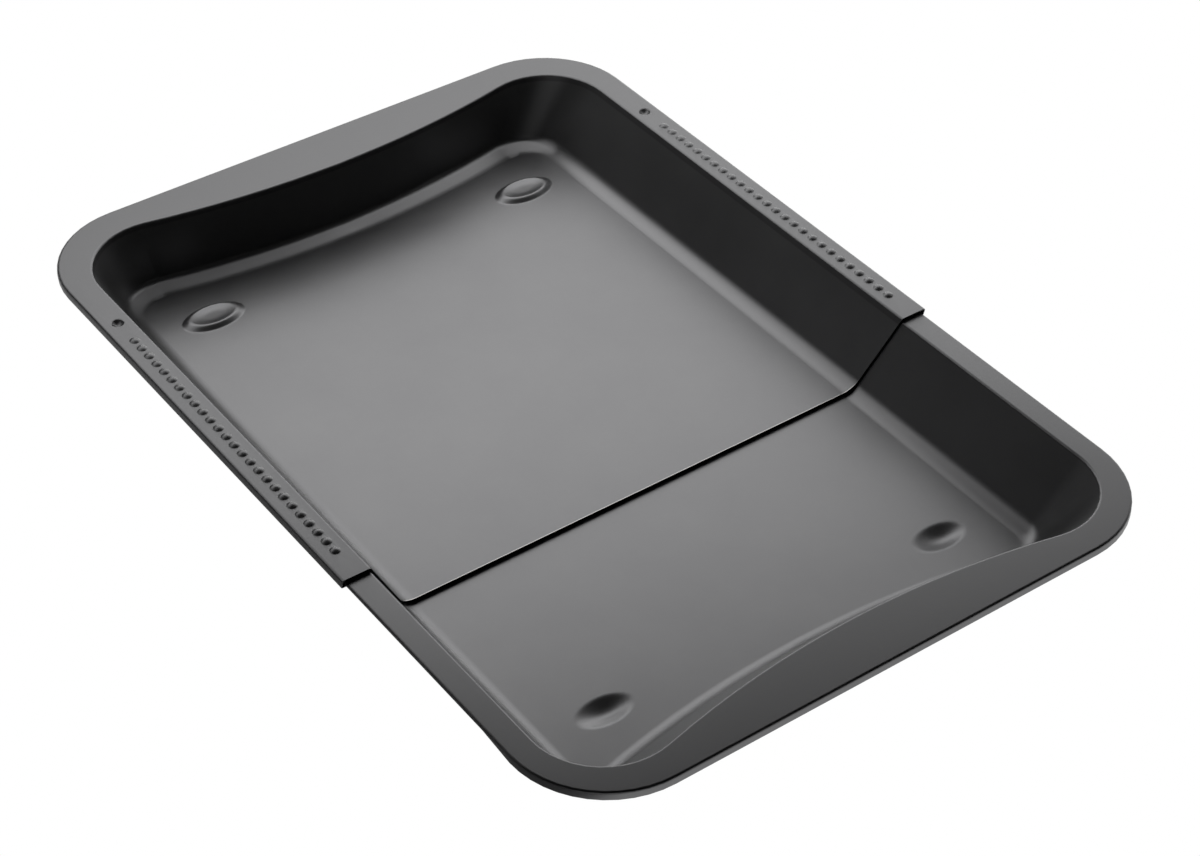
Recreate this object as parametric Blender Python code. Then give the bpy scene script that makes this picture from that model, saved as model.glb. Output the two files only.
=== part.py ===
# Extendable baking tray: two pressed steel halves, one sliding in the hems of the other.
#
# World frame in metres: X across the tray, Y along it (the upper half's closed end is at +Y),
# Z up, with the lowest point on Z = 0. The lower half is drawn where the photo shows it.
#
# Each half is drawn as its visible skin for X >= 0, mirrored, and thickened downwards.
# Only the slide moves: lower_half has its origin on the slide's axis, which runs along Y.

from math import atan2, cos, pi, sin, tan

import bpy
import bmesh
from mathutils import Vector

MM = 0.001

# Driving sizes of the whole tray
TRAY_WIDTH = 330 * MM
SET_LENGTH = 473 * MM          # over both rims, at the setting shown
SHEET = 0.6 * MM
DEPTH = 39.5 * MM              # upper rim's top to upper floor's top
SIDE_RIM = 14.8 * MM           # flat rim along a side, out to the tray's edge
SIDE_RUN = 20.5 * MM           # how far a side wall slopes in, from fold to foot
OUTER_CORNER = 48 * MM
FOLD_CORNER = 35 * MM
FOLD_RADIUS = 1.5 * MM         # rim into wall
FOOT_FILLET = 10.5 * MM        # wall into floor
BEND_RADIUS = 1.6 * MM         # rim into skirt

# Driving sizes of the upper half
SEAM_FROM_BACK = 301 * MM      # back edge to the cut end of the rims
SEAM_SLANT = 8.9 * MM          # the floor's cut edge lies this much further back
BACK_RIM = 18.5 * MM           # rim width beside the bulge
BACK_RUN = 2.4 * MM            # the back wall is steep
BACK_FILLET = 4.5 * MM
BACK_FOOT_BULGE = 11.4 * MM
BACK_FOOT_CORNER = 22 * MM
BACK_BULGE = 12.8 * MM         # how far the end's fold line bulges in at the middle
SKIRT_HEIGHT = 5.4 * MM
HEM_RADIUS = 1.3 * MM
HEM_REACH = 3.5 * MM           # how far the hem curls in under the other half's rim

# Driving sizes of the lower half
RIM_GAP = 1.5 * MM             # between the rims, for the nub
FLOOR_GAP = 1.6 * MM
WALL_SHIFT = 0.35 * MM         # the lower fold lies this much further out
SKIRT_GAP = 0.3 * MM           # lower skirt to the hem under it
SIDE_PLAY = 1.4 * MM           # lower skirt to the upper skirt's inside
LOWER_BEND = 1.2 * MM
CURL_RADIUS = 0.8 * MM
CURL_REACH = 1.3 * MM
FRONT_SKIRT = 4.8 * MM         # skirt height round the closed front
SKIRT_CHANGE = 20 * MM         # length over which the skirt deepens
SKIRT_PLAY = 3 * MM            # from there to the other half at the shortest setting
FRONT_RIM = 15 * MM
FRONT_RUN = 30 * MM
FRONT_FOOT_CORNER = 12 * MM
FRONT_BULGE = 13.8 * MM

# Driving sizes of the latch
BUMPS = 26
PITCH = 7.25 * MM
BUMP_RADIUS = 2.5 * MM
BUMP_HEIGHT = 1.2 * MM
ROW_FROM_SIDE = 8.1 * MM       # row's line to the upper half's outside
FIRST_BUMP = 18.4 * MM         # cut end of the rim to the first bump
STOP_FROM_FIRST = 198.4 * MM
STOP_RADIUS = 3.3 * MM
STOP_DEPTH = 1.5 * MM
STOP_PLAY = 0.5 * MM
NUB_RADIUS = 2.1 * MM
NUB_HEIGHT = 1.2 * MM
NUB_BUMP = 7                   # the bump that holds the nub at the setting shown
TRAVEL_IN = 14                 # pitches from there to the shortest setting
TRAVEL_OUT = 7                 # pitches from there to the longest setting

# Driving sizes of the four pressed pads
PAD_HALF_X = 16.5 * MM
PAD_HALF_Y = 9.5 * MM
PAD_FROM_SIDE = 70.2 * MM      # pad's middle to the tray's edge
RAISED_PAD_HEIGHT = 2.2 * MM
RAISED_PAD_FROM_BACK = 60.2 * MM
PRESSED_PAD_DEPTH = 2.4 * MM
PRESSED_PAD_FROM_FRONT = 77 * MM

# Profiles of the pressed features: how far out from the middle, then how high
RAISED_PAD_SHARES = ((1, 0), (0.9, 0.12), (0.68, 0.88), (0.6, 1), (0.48, 0.9), (0.25, 0.62))
PRESSED_PAD_SHARES = ((1, 0), (0.9, 0.12), (0.7, 0.7), (0.5, 1))
DOME_SHARES = ((1, 0), (0.6, 0.68))

# How finely curves are drawn
CORNER_STEPS = 12
END_STEPS = 8
HEM_STEPS = 4
BEND_STEPS = 4
FOLD_STEPS = 4
FILLET_STEPS = 6
DOME_SIDES = 10
PAD_SIDES = 24

# Derived sizes
BACK_Y = SET_LENGTH / 2
FRONT_Y = SET_LENGTH / 2       # measured towards -Y
SEAM_Y = BACK_Y - SEAM_FROM_BACK
FIRST_BUMP_Y = SEAM_Y + FIRST_BUMP
STOP_Y = FIRST_BUMP_Y + STOP_FROM_FIRST
ROW_X = TRAY_WIDTH / 2 - ROW_FROM_SIDE
PAD_X = TRAY_WIDTH / 2 - PAD_FROM_SIDE
FOLD_X = TRAY_WIDTH / 2 - SIDE_RIM
LOWER_RIM_DROP = SHEET + RIM_GAP
LOWER_DEPTH = DEPTH + SHEET + FLOOR_GAP - LOWER_RIM_DROP
UPPER_RIM_Z = DEPTH + SHEET + FLOOR_GAP + SHEET + PRESSED_PAD_DEPTH
LOWER_RIM_Z = UPPER_RIM_Z - LOWER_RIM_DROP
LOWER_HALF_WIDTH = TRAY_WIDTH / 2 - SHEET - SIDE_PLAY
LOWER_SKIRT = SKIRT_HEIGHT - SHEET - SKIRT_GAP - LOWER_RIM_DROP
HIDDEN_END_Y = STOP_Y - STOP_RADIUS - SHEET - STOP_PLAY - TRAVEL_IN * PITCH
SKIRT_CHANGE_START = TRAVEL_IN * PITCH - SEAM_Y + SKIRT_PLAY
NUB_Y = FIRST_BUMP_Y + NUB_BUMP * PITCH


def clear_scene():
    for thing in list(bpy.data.objects):
        bpy.data.objects.remove(thing, do_unlink=True)


def coated_steel(name, grey, roughness):
    material = bpy.data.materials.new(name)
    material.use_nodes = True
    shader = material.node_tree.nodes["Principled BSDF"]
    shader.inputs["Base Color"].default_value = (grey, grey, grey, 1)
    shader.inputs["Roughness"].default_value = roughness
    shader.inputs["Metallic"].default_value = 0.35
    material.diffuse_color = (grey, grey, grey, 1)
    return material


# Outlines in plan. A closed end is drawn towards +Y for X >= 0, from the straight side,
# round the corner, to the middle line. Points come with their outward direction.

def straight_end(half_width, end_y, radius):
    middle_x, middle_y = half_width - radius, end_y - radius
    points = []
    for step in range(CORNER_STEPS + 1):
        angle = pi / 2 * step / CORNER_STEPS
        out = Vector((cos(angle), sin(angle), 0))
        points.append((Vector((middle_x, middle_y, 0)) + out * radius, out))
    for step in range(1, END_STEPS + 1):
        share = 1 - step / END_STEPS
        points.append((Vector((middle_x * share, end_y, 0)), Vector((0, 1, 0))))
    return points


def bulged_end(half_width, peak_y, radius, bulge):
    # The corner's arc runs on past its peak and meets, at a tangent, one wide arc that
    # bulges into the tray and has its centre outside the tray.
    middle_x, middle_y = half_width - radius, peak_y - radius
    rise = radius - bulge
    wide = (middle_x ** 2 + rise ** 2 - radius ** 2) / (2 * bulge)
    past = atan2(middle_x, rise + wide)
    points = []
    for step in range(CORNER_STEPS + 1):
        angle = (pi / 2 + past) * step / CORNER_STEPS
        out = Vector((cos(angle), sin(angle), 0))
        points.append((Vector((middle_x, middle_y, 0)) + out * radius, out))
    centre_y = peak_y - bulge + wide
    for step in range(1, END_STEPS + 1):
        angle = past * (1 - step / END_STEPS)
        out = Vector((-sin(angle), cos(angle), 0))
        points.append((Vector((sin(angle) * wide, centre_y - cos(angle) * wide, 0)), out))
    return points


def side_point(x, y):
    return Vector((x, y, 0)), Vector((1, 0, 0))


# Cross-section at one station, from the skirt's hem, over the rim, down the wall to the floor.

def arc(centre, across, radius, start, stop, steps):
    points = []
    for step in range(steps + 1):
        angle = start + (stop - start) * step / steps
        points.append(centre + across * cos(angle) * radius + Vector((0, 0, sin(angle) * radius)))
    return points


def skirt_points(edge, out, rim_z, skirt, hem_radius, reach, bend):
    hem_centre = edge - out * hem_radius + Vector((0, 0, rim_z - skirt + hem_radius))
    bend_centre = edge - out * bend + Vector((0, 0, rim_z - bend))
    hem_end = edge - out * reach + Vector((0, 0, rim_z - skirt))
    return ([hem_end]
            + arc(hem_centre, out, hem_radius, -pi / 2, 0, HEM_STEPS)
            + arc(bend_centre, out, bend, 0, pi / 2, BEND_STEPS))


def wall_points(fold, foot, rim_z, depth, fillet):
    # fold and foot are points with their outward directions; the two curves lie across them
    between = fold[0] - foot[0]
    top_slope = atan2(depth, between.dot(fold[1]))
    foot_slope = atan2(depth, between.dot(foot[1]))
    fold_centre = fold[0] + fold[1] * FOLD_RADIUS * tan(top_slope / 2)
    fold_centre += Vector((0, 0, rim_z - FOLD_RADIUS))
    foot_centre = foot[0] - foot[1] * fillet * tan(foot_slope / 2)
    foot_centre += Vector((0, 0, rim_z - depth + fillet))
    return (arc(fold_centre, -fold[1], FOLD_RADIUS, pi / 2, pi / 2 - top_slope, FOLD_STEPS)
            + arc(foot_centre, foot[1], fillet, foot_slope - pi / 2, -pi / 2, FILLET_STEPS))


class Skin:
    """The visible skin of one half, drawn for X >= 0 with its closed end towards +Y."""

    def __init__(self, rim_z, depth, stations):
        self.mesh = bmesh.new()
        self.rim_z, self.depth = rim_z, depth
        self.rows = [[self.mesh.verts.new(point) for point in station] for station in stations]
        self.rim_outer = 1 + HEM_STEPS + 1 + BEND_STEPS
        self.rim_inner = self.rim_outer + 1
        self.loft()

    def loft(self):
        for number in range(len(self.rows) - 1):
            near, far = self.rows[number], self.rows[number + 1]
            for column in range(len(near) - 1):
                if number == 0 and column == self.rim_outer:
                    continue    # the straight rim is filled round its bumps instead
                self.mesh.faces.new((near[column], far[column], far[column + 1], near[column + 1]))

    def pressed(self, x, y, z, radius_x, radius_y, lift, shares, sides):
        """One pressed dome or pad: rings from its edge to its middle. Returns the edge ring."""
        rings = []
        for share, height in shares:
            ring = []
            for side in range(sides):
                angle = 2 * pi * side / sides
                place = (x + cos(angle) * radius_x * share, y + sin(angle) * radius_y * share,
                         z + lift * height)
                ring.append(self.mesh.verts.new(place))
            rings.append(ring)
        for outer, inner in zip(rings, rings[1:]):
            for side in range(sides):
                after = (side + 1) % sides
                self.mesh.faces.new((outer[side], outer[after], inner[after], inner[side]))
        return rings

    def cap(self, ring, x, y, z):
        middle = self.mesh.verts.new((x, y, z))
        for side, vert in enumerate(ring):
            self.mesh.faces.new((vert, ring[(side + 1) % len(ring)], middle))

    def dome(self, x, y, radius, lift):
        rings = self.pressed(x, y, self.rim_z, radius, radius, lift, DOME_SHARES, DOME_SIDES)
        self.cap(rings[-1], x, y, self.rim_z + lift)
        return rings[0]

    def pad(self, x, y, lift, shares):
        floor_z = self.rim_z - self.depth
        rings = self.pressed(x, y, floor_z, PAD_HALF_X, PAD_HALF_Y, lift, shares, PAD_SIDES)
        self.mesh.faces.new(rings[-1])
        return rings[0]

    def fill(self, border, rings):
        loops = [border] + rings
        edges = []
        for loop in loops:
            for number, vert in enumerate(loop):
                pair = (vert, loop[(number + 1) % len(loop)])
                edges.append(self.mesh.edges.get(pair) or self.mesh.edges.new(pair))
        made = bmesh.ops.triangle_fill(self.mesh, edges=edges, use_beauty=True)
        for face in made["geom"]:
            if isinstance(face, bmesh.types.BMFace):
                face.normal_update()
                if face.normal.z < 0:
                    face.normal_flip()

    def fill_rim(self, rings):
        near, far = self.rows[0], self.rows[1]
        self.fill([near[self.rim_outer], far[self.rim_outer],
                   far[self.rim_inner], near[self.rim_inner]], rings)

    def fill_floor(self, rings):
        inner = [row[-1] for row in self.rows]
        corner = self.mesh.verts.new((0, inner[0].co.y, inner[0].co.z))
        self.fill(inner + [corner], rings)

    def finish(self, name, material, faces_front):
        if faces_front:
            for vert in self.mesh.verts:
                vert.co.y = -vert.co.y
            bmesh.ops.reverse_faces(self.mesh, faces=self.mesh.faces[:])
        for face in self.mesh.faces:
            face.smooth = True
        data = bpy.data.meshes.new(name)
        self.mesh.to_mesh(data)
        self.mesh.free()
        data.materials.append(material)
        half = bpy.data.objects.new(name, data)
        bpy.context.scene.collection.objects.link(half)
        mirror = half.modifiers.new("other_side", "MIRROR")
        mirror.merge_threshold = SHEET / 20
        thicken = half.modifiers.new("sheet", "SOLIDIFY")
        thicken.thickness = SHEET
        thicken.offset = -1
        thicken.use_even_offset = True
        thicken.use_quality_normals = True
        return half


def build_upper_half():
    half_width = TRAY_WIDTH / 2
    peak_y = BACK_Y - BACK_RIM
    outer = straight_end(half_width, BACK_Y, OUTER_CORNER)
    fold = bulged_end(FOLD_X, peak_y, FOLD_CORNER, BACK_BULGE)
    foot = bulged_end(FOLD_X - SIDE_RUN, peak_y - BACK_RUN, BACK_FOOT_CORNER, BACK_FOOT_BULGE)
    last_straight = min(fold[0][0].y, foot[0][0].y) - FOOT_FILLET
    sides = [[side_point(x, y) for x in (half_width, FOLD_X, FOLD_X - SIDE_RUN)]
             for y in (SEAM_Y, last_straight)]
    stations = []
    for edge, top, bottom in sides + list(zip(outer, fold, foot)):
        fillet = FOOT_FILLET + (BACK_FILLET - FOOT_FILLET) * edge[1].y ** 2
        stations.append(skirt_points(edge[0], edge[1], UPPER_RIM_Z, SKIRT_HEIGHT,
                                     HEM_RADIUS, HEM_REACH, BEND_RADIUS)
                        + wall_points(top, bottom, UPPER_RIM_Z, DEPTH, fillet))
    for point in stations[0]:
        point.y += SEAM_SLANT * (UPPER_RIM_Z - point.z) / DEPTH
    skin = Skin(UPPER_RIM_Z, DEPTH, stations)
    bumps = [skin.dome(ROW_X, FIRST_BUMP_Y + PITCH * number, BUMP_RADIUS, BUMP_HEIGHT)
             for number in range(BUMPS)]
    stop = skin.dome(ROW_X, STOP_Y, STOP_RADIUS, -STOP_DEPTH)
    skin.fill_rim(bumps + [stop])
    pad = skin.pad(PAD_X, BACK_Y - RAISED_PAD_FROM_BACK, RAISED_PAD_HEIGHT,
                   RAISED_PAD_SHARES)
    skin.fill_floor([pad])
    return skin.finish("upper_half", coated_steel("upper_coating", 0.09, 0.42), False)


def skirt_deepening(y):
    # 0 where the skirt has to fit the other half's hem, 1 round the closed front
    return min(max((y - SKIRT_CHANGE_START) / SKIRT_CHANGE, 0), 1)


def build_lower_half():
    # Drawn with its closed end towards +Y, then turned to the front by finish().
    fold_x = FOLD_X + WALL_SHIFT
    peak_y = FRONT_Y - FRONT_RIM
    outer = straight_end(LOWER_HALF_WIDTH, FRONT_Y, OUTER_CORNER)
    fold = bulged_end(fold_x, peak_y, FOLD_CORNER, FRONT_BULGE)
    foot = bulged_end(fold_x - SIDE_RUN, peak_y - FRONT_RUN, FRONT_FOOT_CORNER, FRONT_BULGE)
    last_straight = min(fold[0][0].y, foot[0][0].y) - FOOT_FILLET
    level_until = min(SKIRT_CHANGE_START, last_straight - CURL_RADIUS)
    sides = [[side_point(x, y) for x in (LOWER_HALF_WIDTH, fold_x, fold_x - SIDE_RUN)]
             for y in (-HIDDEN_END_Y, level_until, last_straight)]
    stations = []
    for edge, top, bottom in sides + list(zip(outer, fold, foot)):
        skirt = LOWER_SKIRT + (FRONT_SKIRT - LOWER_SKIRT) * skirt_deepening(edge[0].y)
        stations.append(skirt_points(edge[0], edge[1], LOWER_RIM_Z, skirt,
                                     CURL_RADIUS, CURL_REACH, LOWER_BEND)
                        + wall_points(top, bottom, LOWER_RIM_Z, LOWER_DEPTH, FOOT_FILLET))
    skin = Skin(LOWER_RIM_Z, LOWER_DEPTH, stations)
    skin.fill_rim([skin.dome(ROW_X, -NUB_Y, NUB_RADIUS, NUB_HEIGHT)])
    pad = skin.pad(PAD_X, FRONT_Y - PRESSED_PAD_FROM_FRONT, -PRESSED_PAD_DEPTH,
                   PRESSED_PAD_SHARES)
    skin.fill_floor([pad])
    return skin.finish("lower_half", coated_steel("lower_coating", 0.085, 0.42), True)


def main():
    clear_scene()
    build_upper_half()
    build_lower_half()
    print("shortest", (SET_LENGTH - TRAVEL_IN * PITCH) / MM,
          "longest", (SET_LENGTH + TRAVEL_OUT * PITCH) / MM, "height", (UPPER_RIM_Z + BUMP_HEIGHT) / MM)


main()
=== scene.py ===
import math

import bpy
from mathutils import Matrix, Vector


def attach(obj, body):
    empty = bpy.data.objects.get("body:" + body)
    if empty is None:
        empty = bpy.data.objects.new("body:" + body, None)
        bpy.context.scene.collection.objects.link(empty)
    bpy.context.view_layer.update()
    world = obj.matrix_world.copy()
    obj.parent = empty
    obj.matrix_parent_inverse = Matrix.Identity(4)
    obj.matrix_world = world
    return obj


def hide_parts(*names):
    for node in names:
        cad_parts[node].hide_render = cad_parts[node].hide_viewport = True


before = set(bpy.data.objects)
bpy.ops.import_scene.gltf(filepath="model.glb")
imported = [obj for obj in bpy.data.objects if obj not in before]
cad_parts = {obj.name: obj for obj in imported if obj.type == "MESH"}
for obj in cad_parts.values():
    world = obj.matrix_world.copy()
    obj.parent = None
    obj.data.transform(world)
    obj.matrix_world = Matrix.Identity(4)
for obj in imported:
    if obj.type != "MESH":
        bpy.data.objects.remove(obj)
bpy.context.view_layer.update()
print("frame loaded")

mm = 0.001
sheet = 0.6 * mm     # the steel with its coat, as the solids have it


# the camera, as the photograph shows the tray
cameraView = {
    "place": (-0.5733, -0.8172, 0.8415),
    "turn": (50.067, -0.087, -35.812),   # degrees
    "lens": 81.555,
    "sensorWidth": 36,
    "clipEnd": 20,
}


def makeCamera():
    bpy.ops.object.camera_add(location=cameraView["place"],
                              rotation=[math.radians(angle) for angle in cameraView["turn"]])
    camera = bpy.context.object
    camera.data.lens = cameraView["lens"]
    camera.data.sensor_width = cameraView["sensorWidth"]
    camera.data.clip_end = cameraView["clipEnd"]
    bpy.context.scene.camera = camera
    print("camera set")


class Shade:
    # wraps one socket, so that maths on it reads as Python
    def __init__(self, maker, socket):
        self.maker, self.socket = maker, socket

    def maths(self, operation, *values, clamp=False):
        return self.maker.add("ShaderNodeMath", {"operation": operation, "use_clamp": clamp},
                              dict(enumerate(values)))

    def __add__(self, other):
        return self.maths("ADD", self, other)

    def __radd__(self, other):
        return self.maths("ADD", other, self)

    def __sub__(self, other):
        return self.maths("SUBTRACT", self, other)

    def __rsub__(self, other):
        return self.maths("SUBTRACT", other, self)

    def __mul__(self, other):
        return self.maths("MULTIPLY", self, other)

    def __rmul__(self, other):
        return self.maths("MULTIPLY", other, self)

    def size(self):
        return self.maths("ABSOLUTE", self)

    def below(self, limit, soft):
        # 1 where the value is under the limit, 0 above limit + soft
        return self.maths("MULTIPLY_ADD", self, -1 / soft, 1 + limit / soft, clamp=True)


class Maker:
    # adds nodes to one material or world
    def __init__(self, tree):
        self.tree = tree

    def add(self, kind, settings=None, values=None, output=0):
        node = self.tree.nodes.new(kind)
        for name, value in (settings or {}).items():
            setattr(node, name, value)
        for name, value in (values or {}).items():
            if isinstance(value, Shade):
                self.tree.links.new(value.socket, node.inputs[name])
            else:
                node.inputs[name].default_value = value
        return Shade(self, node.outputs[output])

    def place(self):
        return self.add("ShaderNodeTexCoord", output="Object")

    def axis(self, number):
        return self.add("ShaderNodeSeparateXYZ", {}, {0: self.place()}, output=number)

    def noise(self, size, detail, roughness):
        # 0 to 1, with features of about that size in metres
        return self.add("ShaderNodeTexNoise", {}, {"Vector": self.place(), "Scale": 1 / size,
                                                   "Detail": detail, "Roughness": roughness})

    def blend(self, share, low, high):
        # 6, 7 and output 2 are the colour sockets of a Mix node
        return self.add("ShaderNodeMix", {"data_type": "RGBA"}, {0: share, 6: low, 7: high},
                        output=2)

    def bump(self, height, distance):
        return self.add("ShaderNodeBump", {}, {"Strength": 1.0, "Distance": distance,
                                               "Height": height})


def newMaterial(name):
    material = bpy.data.materials.new(name)
    material.use_nodes = True
    return material, material.node_tree.nodes["Principled BSDF"]


# the satin coat of both halves with a painted shade over the rims, and the steel colour where the
# floor is cut, a painted highlight at the upper half's seam
coating = {
    "dark": (0.136, 0.136, 0.139, 1),
    "light": (0.172, 0.172, 0.174, 1),
    # painted shade over the rims: its colour, the height it starts from and how soft its edge is
    "rim": (0.116, 0.116, 0.118, 1),
    "rimFrom": 41.2 * mm,
    "rimSoft": 0.6 * mm,
    # faint cloudy patches and fine grain: size in metres, detail and roughness of the noise
    "cloud": (0.045, 4, 0.55),
    "grain": (0.0011, 3, 0.6),
    "grainDepth": 0.000014,
    "roughness": 0.40,
    "cloudRoughness": 0.06,
    "grainRoughness": 0.08,
    "metal": 0.96,
}
# steel colour at the cut ends: at the lower half's hidden end, and as a painted highlight at the
# upper half's floor seam
edgeSteelAndHighlight = {
    "colour": (0.52, 0.51, 0.49, 1),
    "roughness": 0.3,
}


def coatedSteel(name, steelAndHighlightMask):
    material, shader = newMaterial(name)
    maker = Maker(material.node_tree)
    cloud = maker.noise(*coating["cloud"])
    grain = maker.noise(*coating["grain"])
    steelAndHighlight = steelAndHighlightMask(maker)
    # painted shade: the colour is a little darker over the rims
    belowRimShade = maker.axis(2).below(coating["rimFrom"], coating["rimSoft"])
    colour = maker.blend(cloud, coating["dark"], coating["light"])
    colour = maker.blend(belowRimShade, coating["rim"], colour)
    # steel colour at the cut ends, a painted highlight at the upper half's floor seam
    colour = maker.blend(steelAndHighlight, colour, edgeSteelAndHighlight["colour"])
    rough = ((cloud - 0.5) * coating["cloudRoughness"] + (grain - 0.5) * coating["grainRoughness"]
             + coating["roughness"])
    rough = rough + steelAndHighlight * (edgeSteelAndHighlight["roughness"] - coating["roughness"])
    bump = maker.bump(grain, coating["grainDepth"])
    for socket, value in (("Base Color", colour), ("Roughness", rough), ("Normal", bump)):
        material.node_tree.links.new(value.socket, shader.inputs[socket])
    shader.inputs["Metallic"].default_value = coating["metal"]
    return material


# how the copies of the CAD meshes are merged, shaded and reshaped
meshWork = {
    "mergeWithin": 0.000005,
    "sharpFrom": 50,         # degrees
    "flatWeight": 50,
    "reach": 3 * mm,         # a pressed feature's points lie this near the flat sheet,
    "boxSlack": 1.01,        # within this share of its half widths
    "outlineSlack": 1.004,   # and within this share of its outline
    "domePower": 1.9,
}


def pick(half):
    bpy.ops.object.select_all(action="DESELECT")
    half.select_set(True)
    bpy.context.view_layer.objects.active = half


def copyNode(name, node, material):
    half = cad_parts[node].copy()
    half.data = half.data.copy()
    half.name = name
    half.parent = None
    for key in list(half.keys()):
        if key.startswith("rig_"):
            del half[key]
    bpy.context.scene.collection.objects.link(half)
    half.data.materials.clear()
    half.data.materials.append(material)
    pick(half)
    bpy.ops.object.mode_set(mode="EDIT")
    bpy.ops.mesh.select_all(action="SELECT")
    bpy.ops.mesh.remove_doubles(threshold=meshWork["mergeWithin"])
    bpy.ops.object.mode_set(mode="OBJECT")
    return half


def finishHalf(half, node, body):
    pick(half)
    bpy.ops.object.shade_smooth_by_angle(angle=math.radians(meshWork["sharpFrom"]))
    weighted = half.modifiers.new("flatFloors", "WEIGHTED_NORMAL")
    weighted.keep_sharp = True
    weighted.weight = meshWork["flatWeight"]
    bpy.ops.object.modifier_apply(modifier="flatFloors")
    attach(half, body)
    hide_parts(node)
    print(half.name, len(half.data.vertices), "points")


def straightHeight(rise, profile):
    # straight lines through the profile's points, each a share of the way out and of the rise
    def height(share):
        for (nearShare, near), (farShare, far) in zip(profile, profile[1:]):
            if share <= farShare:
                along = (share - nearShare) / (farShare - nearShare)
                return rise * (near + (far - near) * along)
        return 0
    return height


def smoothHeight(rise, profile):
    # a smooth line through the profile's points, level at its two ends
    slopes = [0]
    for before, after in zip(profile, profile[2:]):
        slopes.append((after[1] - before[1]) / (after[0] - before[0]))
    slopes.append(0)

    def height(share):
        for number in range(len(profile) - 1):
            (nearShare, near), (farShare, far) = profile[number], profile[number + 1]
            if share <= farShare:
                wide = farShare - nearShare
                step = (share - nearShare) / wide
                ease = step * step * (3 - 2 * step)
                lean = (slopes[number] * step * (1 - step) ** 2
                        - slopes[number + 1] * step * step * (1 - step))
                return rise * (near + (far - near) * ease + lean * wide)
        return 0
    return height


def domeHeight(rise):
    return lambda share: rise * (1 - share ** meshWork["domePower"])


def middlesOf(feature):
    return [(side * feature["x"], y) for side in (-1, 1) for y in feature["y"]]


def outlineShare(x, y, feature):
    # how far out a point lies, 1 on the rim of a drawn polygon whatever its angle
    halfX, halfY = feature["half"]
    turn = math.atan2(y / halfY, x / halfX)
    step = 2 * math.pi / feature["sides"]
    inner = math.cos(step / 2) / math.cos((turn % step) - step / 2)
    return math.hypot(x / halfX, y / halfY) / inner


def selectPressed(half, feature, surround, outTo):
    # the faces of each pressed feature, as far out as that share of it
    halfX, halfY = feature["half"]
    middles = middlesOf(feature)
    bpy.ops.object.mode_set(mode="EDIT")
    bpy.ops.mesh.select_all(action="DESELECT")
    bpy.ops.mesh.select_mode(type="FACE")
    bpy.ops.object.mode_set(mode="OBJECT")
    for face in half.data.polygons:
        centre = face.center
        if abs(centre.z - surround) >= meshWork["reach"]:
            continue
        for x, y in middles:
            if abs(centre.x - x) < halfX and abs(centre.y - y) < halfY:
                face.select = outlineShare(centre.x - x, centre.y - y, feature) < outTo
                break
    bpy.ops.object.mode_set(mode="EDIT")


def refine(half, feature, surround):
    # an even fan of faces in the middle, and finer faces all over each pressed feature
    if feature["fan"]:
        selectPressed(half, feature, surround, feature["fan"])
        bpy.ops.mesh.dissolve_faces()
        bpy.ops.mesh.poke()
    selectPressed(half, feature, surround, 1)
    bpy.ops.mesh.subdivide(number_cuts=feature["cuts"])
    bpy.ops.object.mode_set(mode="OBJECT")


def reshape(half, feature, surround):
    # both skins of each pressed feature move from the drawn height to the height wanted here
    halfX, halfY = feature["half"]
    middles = middlesOf(feature)
    for point in half.data.vertices:
        if abs(point.co.z - surround) > meshWork["reach"]:
            continue
        for x, y in middles:
            dx, dy = point.co.x - x, point.co.y - y
            if max(abs(dx) / halfX, abs(dy) / halfY) > meshWork["boxSlack"]:
                continue
            share = outlineShare(dx, dy, feature)
            if share > meshWork["outlineSlack"]:
                continue
            plain = math.hypot(dx / halfX, dy / halfY)
            if plain > 0:
                away = share * feature["grow"] / plain
                point.co.x, point.co.y = x + dx * away, y + dy * away
            share = min(share, 1)
            onTop = point.co.z > surround + feature["drawn"](share) - sheet * 0.5
            point.co.z = surround + feature["height"](share) - (0 if onTop else sheet)
            break


def shapePressed(half, features):
    for feature, surround in features:
        refine(half, feature, surround)
    for feature, surround in features:
        reshape(half, feature, surround)


# Each pressed feature: middles on both sides, half widths, sides of its drawn outline, cuts
# across each face, share of it that becomes a fan, how much wider it is here than drawn, and
# its height over the sheet as drawn and as it is here.
domeDrawn = ((0, 1), (0.6, 0.68), (1, 0))
upperForm = {
    "rimZ": 44.7 * mm, "floorZ": 5.2 * mm,
    "seamY": -64.5 * mm, "seamSlant": 8.9 * mm / (39.5 * mm),
    "edgeWidth": 0.12 * mm, "edgeSoft": 0.2 * mm,
    "edgeUp": 2 * mm, "edgeFade": 2 * mm,
    "bumps": {
        "x": 156.9 * mm, "y": [-46.1 * mm + 7.25 * mm * number for number in range(26)],
        "half": (2.5 * mm, 2.5 * mm), "sides": 10, "cuts": 2, "fan": 0, "grow": 1.1,
        "drawn": straightHeight(1.2 * mm, domeDrawn), "height": domeHeight(1.2 * mm),
    },
    "stops": {
        "x": 156.9 * mm, "y": [152.3 * mm],
        "half": (3.3 * mm, 3.3 * mm), "sides": 10, "cuts": 2, "fan": 0, "grow": 1,
        "drawn": straightHeight(-1.5 * mm, domeDrawn), "height": domeHeight(-2.4 * mm),
    },
    "pads": {
        "x": 94.8 * mm, "y": [176.3 * mm],
        "half": (16.5 * mm, 9.5 * mm), "sides": 24, "cuts": 3, "fan": 0.25, "grow": 1.07,
        "drawn": straightHeight(2.2 * mm, ((0, 0.62), (0.25, 0.62), (0.48, 0.9), (0.6, 1),
                                           (0.68, 0.88), (0.9, 0.12), (1, 0))),
        "height": smoothHeight(2.2 * mm, ((0, 0.57), (0.33, 0.63), (0.58, 0.88), (0.69, 1),
                                          (0.76, 0.93), (0.94, 0.12), (1, 0))),
    },
}


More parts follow.
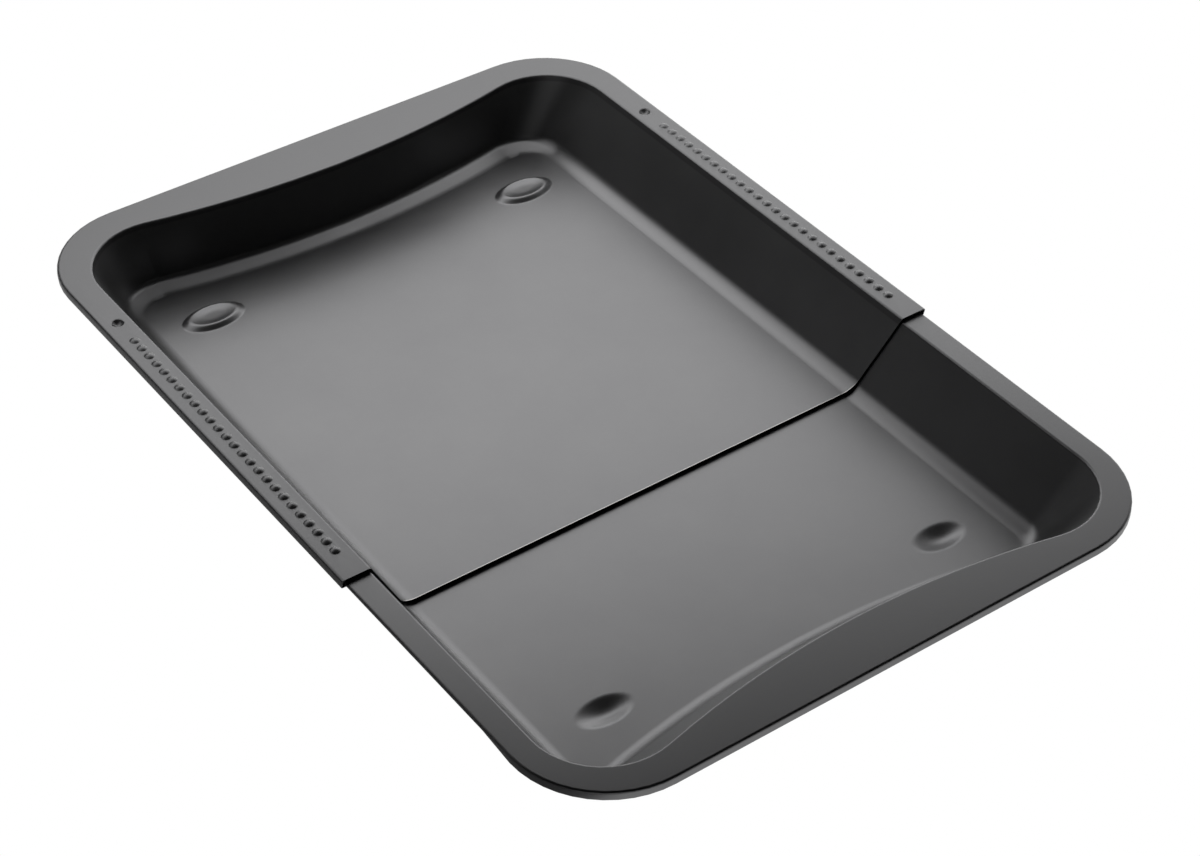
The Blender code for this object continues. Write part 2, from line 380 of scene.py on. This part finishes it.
def upperEdgeHighlight(maker):
    # the cut end of the upper half at the floor, in steel colour: a painted highlight along the
    # seam's edge
    planeY = (upperForm["rimZ"] - maker.axis(2)) * upperForm["seamSlant"] + upperForm["seamY"]
    low = maker.axis(2).below(upperForm["floorZ"] + upperForm["edgeUp"], upperForm["edgeFade"])
    onPlane = (maker.axis(1) - planeY).size().below(upperForm["edgeWidth"], upperForm["edgeSoft"])
    return onPlane * low


# the foot of the upper half's back wall: its line in plan and its fillet, as the CAD has them
backFoot = {
    "sideX": 129.7 * mm, "peakY": 215.6 * mm, "corner": 22 * mm, "bulge": 11.4 * mm,
    "cornerSteps": 12, "endSteps": 8, "arcSteps": 6,
    "sideRadius": 10.5 * mm, "backRadius": 4.5 * mm, "sideLean": 62.6, "backLean": 87.0,
    # the soft ramp that the fillet becomes here
    "ramp": 8.2 * mm, "rampStart": 1.6 * mm, "rampLean": 22, "rampCurve": 3.6 * mm,
    # the points that move lie this far up from the floor and this far from the foot's line
    "reachUp": 10 * mm, "reachOut": 12 * mm, "slack": 0.01 * mm,
}


def footLine(foot):
    # points along the foot for x above 0, each with its outward direction
    corner, bulge = foot["corner"], foot["bulge"]
    middleX, middleY, rise = foot["sideX"] - corner, foot["peakY"] - corner, corner - bulge
    wide = (middleX ** 2 + rise ** 2 - corner ** 2) / (2 * bulge)
    past = math.atan2(middleX, rise + wide)
    line = []
    for step in range(foot["cornerSteps"] + 1):
        angle = (math.pi / 2 + past) * step / foot["cornerSteps"]
        out = Vector((math.cos(angle), math.sin(angle), 0))
        line.append((Vector((middleX, middleY, 0)) + out * corner, out))
    for step in range(1, foot["endSteps"] + 1):
        angle = past * (1 - step / foot["endSteps"])
        endY = foot["peakY"] - bulge + wide - math.cos(angle) * wide
        out = Vector((-math.sin(angle), math.cos(angle), 0))
        line.append((Vector((math.sin(angle) * wide, endY, 0)), out))
    return line


def rampPoint(foot, number, lean):
    # out and up from the foot: a soft start, a straight ramp, then a tight curve into the wall
    ramp, rampLean, radius = foot["ramp"], math.radians(foot["rampLean"]), foot["rampCurve"]
    if number == 0:
        return -ramp - foot["rampStart"], 0
    if number == 1:
        return -ramp + foot["rampStart"], foot["rampStart"] * math.tan(rampLean)
    crossing = ramp * math.tan(rampLean) / (math.tan(lean) - math.tan(rampLean))
    tangent = radius * math.tan((lean - rampLean) / 2)
    startOut = crossing - tangent * math.cos(rampLean)
    startUp = crossing * math.tan(lean) - tangent * math.sin(rampLean)
    turn = rampLean + (lean - rampLean) * (number - 2) / (foot["arcSteps"] - 2)
    return (startOut + radius * (math.sin(turn) - math.sin(rampLean)),
            startUp + radius * (math.cos(rampLean) - math.cos(turn)))


def softenFoot(half, foot, floorZ):
    # both skins of the fillet move alike, from nothing at the side walls to all of it at the back
    line = footLine(foot)
    frontY = foot["peakY"] - foot["corner"] - foot["slack"]
    for point in half.data.vertices:
        if point.co.y < frontY or point.co.z > floorZ + foot["reachUp"]:
            continue
        flip = Vector((1 if point.co.x >= 0 else -1, 1, 1))
        place, normal = point.co * flip, point.normal * flip
        near = [spot for spot in line if (place - spot[0]).to_2d().length <= foot["reachOut"]]
        if not near:
            continue
        corner, out = min(near, key=lambda spot: abs((place - spot[0]).cross(spot[1]).z))
        skin = sheet if normal.z - normal.dot(out) < 0 else 0
        share = out.y ** 2
        radius = foot["sideRadius"] + (foot["backRadius"] - foot["sideRadius"]) * share
        lean = math.radians(foot["sideLean"] + (foot["backLean"] - foot["sideLean"]) * share)
        # the point's place on the fillet, seen from the fillet's centre
        centre = -radius * math.tan(lean / 2)
        fromOut, fromUp = (place - corner).dot(out) - centre, place.z - floorZ - radius
        number = round(foot["arcSteps"] * math.atan2(fromOut, -fromUp) / lean)
        number = min(max(number, 0), foot["arcSteps"])
        keep = 1 - skin / math.hypot(fromOut, fromUp)
        wantedOut, wantedUp = rampPoint(foot, number, lean)
        much = math.sin(math.pi / 2 * share)
        moved = out * (wantedOut - centre - fromOut * keep)
        moved.z = wantedUp - radius - fromUp * keep
        point.co += moved * much * flip


def shapeUpper(half):
    softenFoot(half, backFoot, upperForm["floorZ"])
    shapePressed(half, [(upperForm["bumps"], upperForm["rimZ"]),
                        (upperForm["stops"], upperForm["rimZ"]),
                        (upperForm["pads"], upperForm["floorZ"])])


lowerForm = {
    "floorZ": 3.0 * mm,
    "hiddenEndY": 46.4 * mm, "edgeWidth": 0.15 * mm, "edgeSoft": 0.25 * mm,
    "pads": {
        "x": 94.8 * mm, "y": [-159.5 * mm],
        "half": (16.5 * mm, 9.5 * mm), "sides": 24, "cuts": 3, "fan": 0.5, "grow": 1,
        "drawn": straightHeight(-2.4 * mm, ((0, 1), (0.5, 1), (0.7, 0.7), (0.9, 0.12), (1, 0))),
        "height": smoothHeight(-2.4 * mm, ((0, 1), (0.25, 0.88), (0.5, 0.52), (0.75, 0.12),
                                           (0.85, 0.02), (1, 0))),
    },
}


def lowerCut(maker):
    # the hidden end of the lower half
    fromEnd = (maker.axis(1) - lowerForm["hiddenEndY"]).size()
    return fromEnd.below(lowerForm["edgeWidth"], lowerForm["edgeSoft"])


def shapeLower(half):
    shapePressed(half, [(lowerForm["pads"], lowerForm["floorZ"])])


studio = {
    "floorSize": 8,
    "floorDrop": 0.0005,
    "floorGrey": 0.8,
    "floorRoughness": 0.9,
    "plainGlow": 0.05,        # what the surroundings give to matt surfaces
    # softboxes: turn in degrees, one edge and the other in metres forward and up, width and glow
    "boxes": {
        "nearBox": (-36, (0.21, 0.40), (0.42, 0.40), 1.4, 1.13),
        "farBox": (-36, (0.42, 0.40), (0.70, 0.40), 1.6, 1.4),
        "endBox": (-36, (0.70, 0.40), (1.00, 0.40), 1.6, 0.85),
        "lowBox": (-42, (1.6, 0.06), (1.6, 0.34), 2.0, 2.6),
    },
    # cards that only reflections show: middle, turn in degrees, width, height and grey
    "flags": {
        "topFlag": ((-0.582, -0.801, 0.41), (0, 0, -36), 3.2, 2.40, 0.01),
        "cornerFlag": ((-0.25, 1.85, 0.55), (90, 0, 0), 1.5, 1.1, 0.01),
        "leftFlag": ((-1.545, 0.414, 0.55), (90, 0, 75), 3.4, 1.1, 0.01),
        "frontFlag": ((0.8, -1.386, 0.55), (90, 0, -150), 3.8, 1.1, 0.01),
        "groundFlag": ((-0.42, 0.15, 0.001), (0, 0, 0), 0.5, 1.0, 0.8),
    },
}


def seenWhite(maker):
    # 1 for what the camera sees directly, or in a reflection or through glass
    seen = maker.add("ShaderNodeLightPath", output="Is Camera Ray")
    glossy = maker.add("ShaderNodeLightPath", output="Is Glossy Ray")
    through = maker.add("ShaderNodeLightPath", output="Is Transmission Ray")
    return seen.maths("ADD", seen + glossy, through, clamp=True)


def makeFloor():
    bpy.ops.mesh.primitive_plane_add(size=studio["floorSize"],
                                     location=(0, 0, -studio["floorDrop"]))
    floor = bpy.context.object
    floor.name = "studioFloor"
    material, matt = newMaterial("paleFloor")
    grey = studio["floorGrey"]
    matt.inputs["Base Color"].default_value = (grey, grey, grey, 1)
    matt.inputs["Roughness"].default_value = studio["floorRoughness"]
    tree = material.node_tree
    maker = Maker(tree)
    glow = maker.add("ShaderNodeEmission", {}, {"Color": (1, 1, 1, 1), "Strength": 1.0})
    # matt for light that falls on the floor, white for what looks at it
    mix = maker.add("ShaderNodeMixShader", {},
                    {0: seenWhite(maker), 1: Shade(maker, matt.outputs[0]), 2: glow})
    tree.links.new(mix.socket, tree.nodes["Material Output"].inputs["Surface"])
    floor.data.materials.append(material)


def makeWorld():
    world = bpy.data.worlds.new("studioWorld")
    bpy.context.scene.world = world
    world.use_nodes = True
    maker = Maker(world.node_tree)
    level = studio["plainGlow"]
    colour = maker.blend(seenWhite(maker), (level, level, level, 1), (1, 1, 1, 1))
    world.node_tree.links.new(colour.socket, world.node_tree.nodes["Background"].inputs["Color"])


def makeBox(name, turn, near, far, width, glow):
    # a softbox that faces the tray; glow is its own brightness, where 1 is white
    azimuth = math.radians(turn)
    forward = Vector((-math.sin(azimuth), math.cos(azimuth), 0))
    near, far = [forward * away + Vector((0, 0, up)) for away, up in (near, far)]
    middle, along = (near + far) / 2, far - near
    facing = along.cross(forward.cross(Vector((0, 0, 1))))
    target = middle - facing * (1 if facing.dot(middle) > 0 else -1)
    bpy.ops.object.light_add(type="AREA", location=middle,
                             rotation=(target - middle).to_track_quat("-Z", "Y").to_euler())
    light = bpy.context.object
    light.name = name
    light.data.shape = "RECTANGLE"
    light.data.size, light.data.size_y = width, along.length
    light.data.energy = glow * math.pi * width * along.length
    light.visible_camera = False


def makeFlag(name, place, turn, width, height, grey):
    bpy.ops.mesh.primitive_plane_add(size=1, location=place,
                                     rotation=[math.radians(angle) for angle in turn])
    flag = bpy.context.object
    flag.name = name
    flag.scale = (width, height, 1)
    flag.visible_camera = False
    flag.visible_shadow = False
    flag.visible_diffuse = False
    material, shader = newMaterial(name + "Cloth")
    shader.inputs["Base Color"].default_value = (grey, grey, grey, 1)
    shader.inputs["Roughness"].default_value = 1
    flag.data.materials.append(material)


def makeStudio():
    bpy.context.scene.view_settings.view_transform = "Standard"
    makeFloor()
    makeWorld()
    for name, box in studio["boxes"].items():
        makeBox(name, *box)
    for name, flag in studio["flags"].items():
        makeFlag(name, *flag)
    print("studio ready")


makeCamera()
makeStudio()
upperTray = copyNode("upperTray", "upper_half", coatedSteel("upperCoating", upperEdgeHighlight))
shapeUpper(upperTray)
finishHalf(upperTray, "upper_half", "upper")
lowerTray = copyNode("lowerTray", "lower_half", coatedSteel("lowerCoating", lowerCut))
shapeLower(lowerTray)
finishHalf(lowerTray, "lower_half", "lower")
